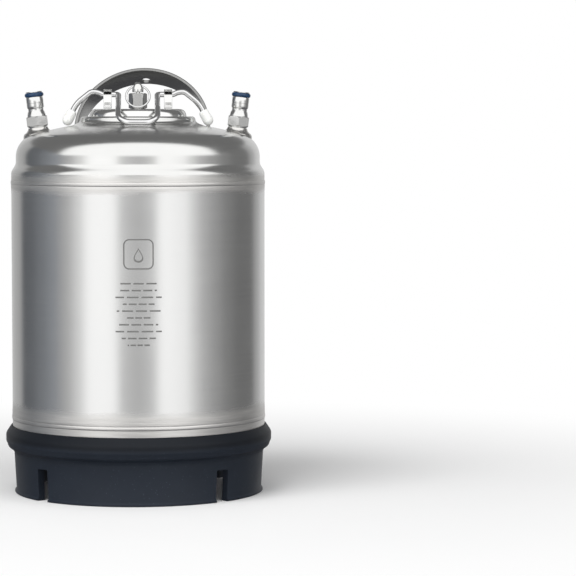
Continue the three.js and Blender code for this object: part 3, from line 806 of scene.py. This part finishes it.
def makePost(kind, side):
    place, thread, bore, pin = postFrame(side), post["thread"], post["bore"], post["pin"]
    stub = [(4.9, -4.5), (13.4, -4.5), (13.1, -1.4)]
    stub += smoothBetween([(13.1, -1.4), (12.2, 0.3), (10.4, 1.5), (9.1, 2.9), (8.5, 4.1)], 5)
    stub += [(8.35, 4.9), (thread, 4.9)]
    stub += [(thread - 0.35 * (i % 2), 5.2 + i * 0.45) for i in range(12)] + [(6.7, 11), (4.9, 11)]
    bm = moved(spunMesh(stub, 96, closed=True), place)
    finishPiece(bm, kind + "Stub", "keg", stubFinish, [kind + "_bung"])

    top, seal = post["height"], post["height"] - post["sealDrop"]
    under, over = seal - post["sealTall"] - 0.15, seal + post["sealTall"] + 0.15
    outline = [(7.3, 5.2), (8.1, 5.2), (8.2, 5.4), (8.2, 6)]
    outline += hexRows(post["hex"], post["hexLow"], post["hexHigh"], 1.1, 1.35)
    outline += [(7.8, post["hexHigh"]), (7.75, 14.8), (7.75, 16), (7.6, 16.3), (7.15, 18.4), (6.6, 19.1)]
    outline += [(post["groove"], 19.4), (post["groove"], 21.3), (6.65, 21.6), (7.15, 22.1)]
    outline += [(7.25, 22.4), (7.25, 25.6), (7.05, 25.75), (7.05, 26.05), (7.25, 26.2)]
    outline += [(7.25, under - 0.3), (7.1, under), (4.8, under), (4.8, over), (6.9, over), (7.1, over + 0.2)]
    outline += [(7.05, top - 0.35), (6.8, top), (4.3, top), (3.95, top - 0.3), (post["mouth"], post["seat"])]
    outline += [(bore, post["seat"]), (bore, post["floor"]), (7.3, post["floor"])]
    bm = spunMesh(outline, 96, closed=True)
    hexagon(bm, post["hex"], post["hexLow"], post["hexHigh"], 30)
    finishPiece(moved(bm, place), kind + "Post", "keg", machinedFinish, [kind + "_post"], 30)

    wide, tall = post["sealWide"], post["sealTall"]
    turns = [math.tau * i / 24 for i in range(24)]
    ring = [(post["seal"] + wide * math.cos(a), seal + tall * math.sin(a)) for a in turns]
    bm = moved(spunMesh(ring, 96, closed=True), place)
    finishPiece(bm, kind + "PostSeal", "keg", blueFinish, [kind + "_post_oring"])

    disc = post["disc"]
    outline = [(0, disc - 4.6), (1.8, disc - 4.6), (1.8, disc - 1.4), (4.4, disc - 1.4), (4.5, disc - 1.2),
               (4.5, disc - 0.2), (4.4, disc), (pin, disc), (pin, top - 1.5), (pin - 0.2, top - 1),
               (1.6, top - 0.8), (0.7, top - 0.8), (0.4, top - 1.1), (0, top - 1.2)]
    bm = moved(spunMesh(outline, 48), place)
    finishPiece(bm, kind + "PoppetPin", kind + "_valve", machinedFinish, [kind + "_poppet"])


for kind, side in (("gas", -1), ("liquid", 1)):
    makePost(kind, side)
print("posts made")

# ---- lid with its brackets
lid = {"sheet": 1.5, "roll": 5.5, "fit": 2.2, "hole": 6.9, "flange": 5.2}


def makeLid():
    wall, sheet, hole, top = neckOuter - lid["roll"] - lid["fit"], lid["sheet"], lid["hole"], lidTop
    flange, edge = neckTop - dome["lip"] - lid["flange"], neckOuter - neckInset
    outline = [(hole, top - 0.2), (hole + 0.2, top), (wall - 12, top), (wall - 8, top)]
    outline += smoothBetween([(wall - 5.5, top), (wall - 4.3, top - 0.1), (wall - 2.2, top - 1.0),
                              (wall - 0.7, top - 3), (wall, top - 5)], 5)
    outline += [(wall, flange + 1), (wall + 0.4, flange), (edge - 0.4, flange), (edge, flange - 0.3),
                (edge, flange - sheet + 0.3), (edge - 0.4, flange - sheet), (wall - sheet, flange - sheet)]
    top -= sheet
    outline += [(wall - sheet, top - 5), (wall - sheet - 0.5, top - 2.8), (wall - 3.4, top - 0.8),
                (wall - 5, top), (hole, top)]
    bm = spunMesh(outline, 160, closed=True)
    ovalise(bm)
    finishPiece(bm, "lidPressing", "lid", polishedFinish, ["lid_plate"], 45)


def slab(outline, low, high):
    # an outline of (y, z) in mm, as thick as low to high along X
    bm = bmesh.new()
    pushed(bm, filled(bm, [(low, y, z) for y, z in outline]), (high - low, 0, 0))
    turnOutward(bm)
    return bm


bracket = {"bore": 2.7, "sheet": 1.6, "soft": 0.35, "windowTall": 3.6, "windowSill": 1.9, "rim": 0.9}


def makeBrackets():
    base, bore, sheet = lidTop + seatGap, bracket["bore"], bracket["sheet"]
    outer, leaf, tall = bore + sheet, 2 * sheet, bracket["windowTall"]
    for name, side in (("left", -1), ("right", 1)):
        low, high = sorted((side * bracketNear, side * bracketFar))
        outline = [(outer, base)] + arc(0, bailHeight, outer, 0, 180, 24) + [(-outer, base), (-bore, base)]
        outline += arc(0, bailHeight, bore, 180, 0, 24) + [(bore, base)]
        bm = slab(outline, low, high)
        softenEdges(bm, bracket["soft"], 3, 50)
        window = box((high - low - 2 * bracket["rim"], leaf, tall),
                     ((low + high) / 2, -bore - leaf / 2, base + bracket["windowSill"] + tall / 2))
        softenEdges(window, 0.5, 3, 60)
        bm, replaced = cutBy(bm, [window]), [name + "_bail_bracket"]
        finishPiece(bm, name + "BailBracket", "lid", polishedFinish, replaced, 40)


makeLid()
makeBrackets()
print("lid made")

# ---- bail: one wire with its lifting loop, and a soft sleeve on each end
bail = {"wire": 2.4, "half": 16.5, "reach": 63, "corner": 11, "bend": 46, "bendSoft": 6, "droop": 16,
        "tuck": 40, "foot": 4.5, "footGap": 0.6, "footOut": 14.3, "sides": 24, "perMm": 4}


def loopPath():
    # centre line of the loop as (y, z) at each quarter millimetre along the wire, bending softly downwards
    points, y, z = [], 0.0, 0.0
    start, soft, step = bail["bend"] - bail["bendSoft"], 2 * bail["bendSoft"], 1 / bail["perMm"]
    for i in range(int(bail["reach"] * bail["perMm"]) + 1):
        points.append((y, z))
        bent = smoothStep((i * step - start) / soft)
        angle = math.radians(bail["droop"] + (bail["tuck"] - bail["droop"]) * bent)
        y -= math.cos(angle) * step
        z -= math.sin(angle) * step
    return points


def footCentre():
    reach = neckOuter + bail["footOut"]
    return Vector((reach, 0, domeHeight(reach, bail["foot"] + bail["footGap"])))


def makeBail():
    foot = footCentre()
    elbow = Vector((foot.x - 7.8, 0, bailHeight - 7.5))
    middle, half, corner = (bracketNear + bracketFar) / 2, bail["half"], bail["corner"]
    line = loopPath()

    def onLoop(x, reach):
        along = reach * bail["perMm"]
        low = min(int(along), len(line) - 2)
        y, z = (a + (b - a) * (along - low) for a, b in zip(line[low], line[low + 1]))
        return Vector((x, y, bailHeight + z))
    arm = [(middle + 13.5, 2.6), (middle + 7.4, 1.6), (bracketFar + 1, 0), (half, 0)]
    corners = [foot, elbow] + [Vector((x, 0, bailHeight + up)) for x, up in arm] + [onLoop(half, 10)]
    right = roundedPath(corners, [5, 3, 2, 1.2, 3.6], 10)
    bend = bail["reach"] - corner
    right += [onLoop(half, reach) for reach in range(12, int(bend), 2)]
    for i in range(21):
        a = math.pi / 2 * i / 20
        right.append(onLoop(half - corner + corner * math.cos(a), bend + corner * math.sin(a)))
    left = [Vector((-p.x, p.y, p.z)) for p in right[::-1]]
    bm = sweep(right + left, bail["wire"], bail["sides"])
    finishPiece(bm, "bailWireForm", "bail", wireFinish, ["bail_wire"])

    r, bore = bail["foot"], bail["wire"] + 0.15
    sleeve = arc(0, 0, r, -90, 0, 14) + [(r, 2), (r - 0.12, 4.5), (r - 0.2, 7), (r - 0.45, 8.3), (r - 0.9, 9)]
    sleeve += [(r - 1.2, 9.2), (bore, 9.2), (bore, -0.3), (0, -0.3)]
    for name, side in (("left", -1), ("right", 1)):
        way = Vector((side * (elbow.x - foot.x), 0, elbow.z - foot.z)).normalized()
        turn = Vector((0, 0, 1)).rotation_difference(way).to_matrix().to_4x4()
        place = Matrix.Translation(Vector((side * foot.x, 0, foot.z)) * mm) @ turn
        bm = moved(spunMesh(sleeve, 64), place)
        finishPiece(bm, name + "BailSleeve", "bail", sleeveFinish, [name + "_bail_foot"])


makeBail()
print("bail made")

# ---- relief valve in the middle of the lid
valve = {"spigot": 5.95, "seat": 2.4, "hex": 13.8, "bore": 3.7, "stem": 1.8, "cap": 4.8, "eye": 2.6,
         "ring": 10, "ringWire": 0.9, "hang": 25}


def makeValve():
    top, base, low = valveTop, lidTop + seatGap, valveFoot
    seat, slide, spigot, bore = low + valve["seat"], valve["stem"] + 0.6, valve["spigot"], valve["bore"]
    outline = [(slide, low), (spigot - 0.5, low), (spigot, low + 0.5)]
    outline += [(spigot - 0.3 * (i % 2), low + 0.8 + i * 0.5) for i in range(12)]
    outline += [(spigot, base - 0.6), (spigot, base)] + hexRows(valve["hex"], base, top, 0.8, 1.0)
    outline += [(slide + 1.2, top), (slide + 0.3, top - 0.2), (slide, top - 0.5)]
    outline += [(slide, top - 2.4), (bore, top - 2.4), (bore, seat), (slide, seat)]
    bm = spunMesh(outline, 96, closed=True)
    hexagon(bm, valve["hex"], base, top)
    finishPiece(bm, "reliefValveBody", "lid", machinedFinish, ["relief_valve_body"], 30)

    cap, neck, collar = valve["cap"], valve["stem"], bore - 0.6
    outline = [(0, low), (1.5, low), (1.5, seat + 2.2), (collar, seat + 2.2), (collar, seat + 4.2)]
    outline += [(neck, seat + 4.2), (neck, top + 0.8)]
    outline += [(cap - 0.5, top + 0.8), (cap - 0.15, top + 1), (cap, top + 1.4)]
    shoulder = [(cap, -3), (cap - 0.45, -0.6), (cap - 1.3, 1.3), (cap - 2.6, 2.5)]
    shoulder = [(r, eyeHeight + up) for r, up in shoulder] + [(1, stemTop - 0.02)]
    outline += smoothBetween(shoulder, 6) + [(0, stemTop)]
    across = Matrix.Translation((0, 0, eyeHeight * mm)) @ Matrix.Rotation(math.pi / 2, 4, "Y")
    bm = cutBy(spunMesh(outline, 64), [rod(valve["eye"] * valve["ringWire"], -8, 8, 40, across)])
    finishPiece(bm, "reliefStem", "relief_stem", machinedFinish, ["relief_valve_stem"])

    hang, loop = math.radians(valve["hang"]), []
    for i in range(96):
        a = math.tau * i / 96
        x, down = valve["ring"] * math.sin(a), valve["ring"] * (1 - math.cos(a))
        loop.append((x, -down * math.sin(hang), eyeHeight - down * math.cos(hang)))
    bm = sweep(loop, valve["ringWire"], 16, closed=True)
    finishPiece(bm, "pullRing", "relief_ring", wireFinish, ["relief_valve_ring"])


makeValve()
print("valve made")

# ---- etched mark on the shell: a drop in a rounded square over blank rules
mark = {"height": 208, "size": 25, "line": 1.1, "corner": 5, "lift": 0.05, "thick": 0.04, "drop": 6,
        "dropLine": 1.5, "rules": (34, 30, 38, 26, 36, 22, 32, 38, 28, 18), "ruleTop": 184, "ruleStep": 5.6,
        "ruleTall": 1.3, "cells": 16}


def between(start, end, steps=12):
    # keeps a long side close to the curve of the shell
    return [tuple(a + (b - a) * i / steps for a, b in zip(start, end)) for i in range(1, steps)]


def roundedSquare(half, corner):
    points = []
    for turn, (cx, cz) in enumerate([(1, 1), (-1, 1), (-1, -1), (1, -1)]):
        x, z = cx * (half - corner), mark["height"] + cz * (half - corner)
        quarter = arc(x, z, corner, turn * 90, turn * 90 + 90, 8)
        if points:
            points += between(points[-1], quarter[0])
        points += quarter
    return points + between(points[-1], points[0])


def dropShape(size):
    turns = [math.tau * i / 40 for i in range(40)]
    return [(size * 0.95 * math.sin(a) * math.sin(a / 2) ** 1.6, mark["height"] - 0.8 + size * math.cos(a))
            for a in turns]


def band(outer, inner):
    bm = bmesh.new()
    loops = []
    for outline in (outer, inner):
        verts = [bm.verts.new((x, 0, z)) for x, z in outline]
        loops += [bm.edges.new(pair) for pair in zip(verts, verts[1:] + verts[:1])]
    bmesh.ops.bridge_loops(bm, edges=loops)
    return bm


def ruleRow(i, width):
    bm = bmesh.new()
    place = Matrix.Translation((0, 0, mark["ruleTop"] - i * mark["ruleStep"]))
    place = place @ Matrix.Rotation(math.pi / 2, 4, "X") @ Matrix.Diagonal((width, mark["ruleTall"], 1, 1))
    cells = mark["cells"]
    bmesh.ops.create_grid(bm, x_segments=cells, y_segments=1, size=0.5, matrix=place)
    gaps = [f for f in bm.faces if (round(f.calc_center_median().x / width * cells - 0.5) + i) % 5 == 2]
    bmesh.ops.delete(bm, geom=gaps, context="FACES")
    return bm


def makeMark():
    # drawn flat in mm, then wrapped round the shell
    half, line, corner, drop = mark["size"] / 2, mark["line"], mark["corner"], mark["drop"]
    parts = [band(roundedSquare(half, corner), roundedSquare(half - line, corner - line)),
             band(dropShape(drop), dropShape(drop - mark["dropLine"]))]
    parts += [ruleRow(i, width) for i, width in enumerate(mark["rules"])]
    bm = joined(*parts)
    bmesh.ops.remove_doubles(bm, verts=bm.verts, dist=1e-4)
    for vert in bm.verts:
        a, r = vert.co.x / shellRadius, shellRadius + mark["lift"]
        vert.co = Vector((r * math.sin(a), -r * math.cos(a), vert.co.z)) * mm
    turnOutward(bm)
    bmesh.ops.solidify(bm, geom=bm.faces, thickness=mark["thick"] * mm)
    turnOutward(bm)
    finishPiece(bm, "shellMark", "keg", inkFinish)


makeMark()
print("mark made")

# ---- springs, wound again as coils of wire
coil = {"wire": 0.45, "perTurn": 32, "sides": 12}


def makeSpring(name, replaced, body, place, turns):
    # ends and width are measured on the frame's own spring, along its axis
    inward = place.inverted()
    spots = [inward @ corner.co / mm for corner in frame["nodes"][replaced].data.vertices]
    low = min(spot.z for spot in spots) + coil["wire"]
    high = max(spot.z for spot in spots) - coil["wire"]
    radius = max(math.hypot(spot.x, spot.y) for spot in spots) - coil["wire"]
    count = turns * coil["perTurn"]
    path = []
    for i in range(count + 1):
        a = math.tau * i / coil["perTurn"]
        spot = Vector((radius * math.cos(a), radius * math.sin(a), low + (high - low) * i / count))
        path.append(place @ (spot * mm) / mm)
    bm = sweep(path, coil["wire"], coil["sides"])
    piece = finishPiece(bm, name, body, springFinish, [replaced])
    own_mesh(piece)


for kind, side in (("gas", -1), ("liquid", 1)):
    poppet = kind + "_poppet"
    makeSpring(kind + "PoppetSpring", poppet + "_spring", "keg", postFrame(side), 4)
makeSpring("reliefSpring", "relief_valve_spring", "lid", Matrix.Identity(4), 5)
print("springs made")

# ---- finishes for the pieces kept as they are
kept = {"relief_valve_nut": machinedFinish, "lid_oring": sealFinish, "relief_valve_seal": sealFinish}
for kind in ("gas", "liquid"):
    kept[kind + "_dip_tube"] = tubeFinish
    kept[kind + "_poppet_seal"] = kept[kind + "_dip_tube_oring"] = sealFinish
for name, finish in kept.items():
    mesh = frame["nodes"][name].data
    mesh.materials.clear()
    mesh.materials.append(finish)

# ---- floor, light tent and camera
stage = {"tent": 3.5, "tall": 6.4, "floor": 3.4, "fadeStart": 0.15, "fadeEnd": 0.75}
# brightness round the tent at the height of the object, by the angle in degrees from the camera's side
tentTones = [(-180, 0.8), (-146, 0.55), (-134, 0.5), (-125, 0.16), (-112, 0.19), (-97, 0.27), (-81, 0.38),
             (-67, 0.58), (-55, 0.95), (-44, 1.5), (-22, 1.5), (-14, 0.8), (0, 0.66), (12, 0.8), (20, 1.5),
             (42, 1.35), (50, 0.95), (60, 0.62), (73, 0.44), (86, 0.30), (102, 0.22), (122, 0.22), (133, 0.5),
             (150, 0.75), (180, 0.8)]


def emissive(name):
    material = bpy.data.materials.new(name)
    material.use_nodes = True
    tree = material.node_tree
    tree.nodes.clear()
    out = tree.nodes.new("ShaderNodeOutputMaterial")
    glow = tree.nodes.new("ShaderNodeEmission")
    tree.links.new(glow.outputs[0], out.inputs["Surface"])
    return material, tree, glow


def stagePiece(bm, name, material, **seen):
    for face in bm.faces:
        face.smooth = True
    made = meshObject(bm, name)
    made.data.materials.append(material)
    for key, value in seen.items():
        setattr(made, "visible_" + key, value)


def tentShade(angle, tone):
    # the dim left side is a little blue
    return (tone * 0.93, tone * 0.98, tone * 1.06) if angle < -50 and tone < 0.5 else (tone, tone, tone)


def makeTent():
    material, tree, glow = emissive("tentLight")
    x, y, z = axes(tree, tree.nodes.new("ShaderNodeTexCoord").outputs["Object"])

    def step(value, low, high):
        return mapRange(tree, value, low, high, kind="SMOOTHSTEP")
    turn = mathNode(tree, "ARCTAN2", x, times(tree, y, -1.0))
    turn = plus(tree, mathNode(tree, "DIVIDE", turn, math.tau), 0.5)
    ring = ramp(tree, turn, [(angle / 360 + 0.5, tentShade(angle, tone)) for angle, tone in tentTones])
    # a wide soft box above the camera, dark above and behind the object, a dark ground below
    overhead = mixColor(tree, step(y, -0.35, -1.0), grey(0.20), grey(1.45))
    startUp = plus(tree, times(tree, step(y, -1.2, 1.0), 0.9), 0.75)
    upper = step(minus(tree, z, startUp), 0.0, 0.35)
    lower = step(z, -0.55, -0.95)
    color = mixColor(tree, lower, mixColor(tree, upper, ring, overhead), (0.16, 0.16, 0.17))
    tree.links.new(color, glow.inputs["Color"])
    bm = bmesh.new()
    bmesh.ops.create_cone(bm, cap_ends=True, segments=128, radius1=stage["tent"], radius2=stage["tent"],
                          depth=stage["tall"])
    stagePiece(bm, "tent", material, camera=False)


def makeBackdrop():
    world = bpy.data.worlds.new("paper")
    world.use_nodes = True
    paper = world.node_tree.nodes["Background"]
    paper.inputs["Color"].default_value = (1, 1, 1, 1)
    bpy.context.scene.world = world


def makeFloor():
    material, tree, shader, place = newMaterial("paleFloor")
    cloud = noise(tree, place, 3.0, 3.0, 0.5)
    tree.links.new(mixColor(tree, cloud, (0.86, 0.86, 0.86), (0.90, 0.90, 0.90)), shader.inputs["Base Color"])
    shader.inputs["Roughness"].default_value = 0.9
    shader.inputs["Specular IOR Level"].default_value = 0.1
    # the sweep of paper turns to plain white away from the object
    away = node(tree, "VectorMath", operation="LENGTH")
    tree.links.new(place, away.inputs[0])
    fade = mapRange(tree, away.outputs["Value"], stage["fadeStart"], stage["fadeEnd"], kind="SMOOTHSTEP")
    glow = tree.nodes.new("ShaderNodeEmission")
    blend = tree.nodes.new("ShaderNodeMixShader")
    out = tree.nodes["Material Output"]
    tree.links.new(fade, blend.inputs[0])
    tree.links.new(shader.outputs[0], blend.inputs[1])
    tree.links.new(glow.outputs[0], blend.inputs[2])
    tree.links.new(blend.outputs[0], out.inputs["Surface"])
    bm = bmesh.new()
    bmesh.ops.create_circle(bm, cap_ends=True, segments=96, radius=stage["floor"])
    stagePiece(bm, "floor", material, glossy=False)


def aimAt(made, place, aim):
    made.location = place
    made.rotation_euler = (Vector(aim) - made.location).to_track_quat("-Z", "Y").to_euler()


def makeCamera():
    data = bpy.data.cameras.new("camera")
    data.lens = 162.5
    data.sensor_width = 36
    camera = placed("camera", data)
    aimAt(camera, (0, -2.228, 0.313), (0.1283, 0, 0.1733))
    bpy.context.scene.camera = camera


def makeKeyLight():
    data = bpy.data.lights.new("key", "AREA")
    data.shape = "RECTANGLE"
    data.size, data.size_y = 1.6, 1.2
    data.energy = 34
    key = placed("key", data)
    aimAt(key, (-0.9, -1.4, 2.4), (0, 0, 0.2))
    key.visible_glossy = False


makeTent()
makeBackdrop()
makeFloor()
makeKeyLight()
makeCamera()
bpy.context.scene.view_settings.view_transform = "Standard"
print("stage made")
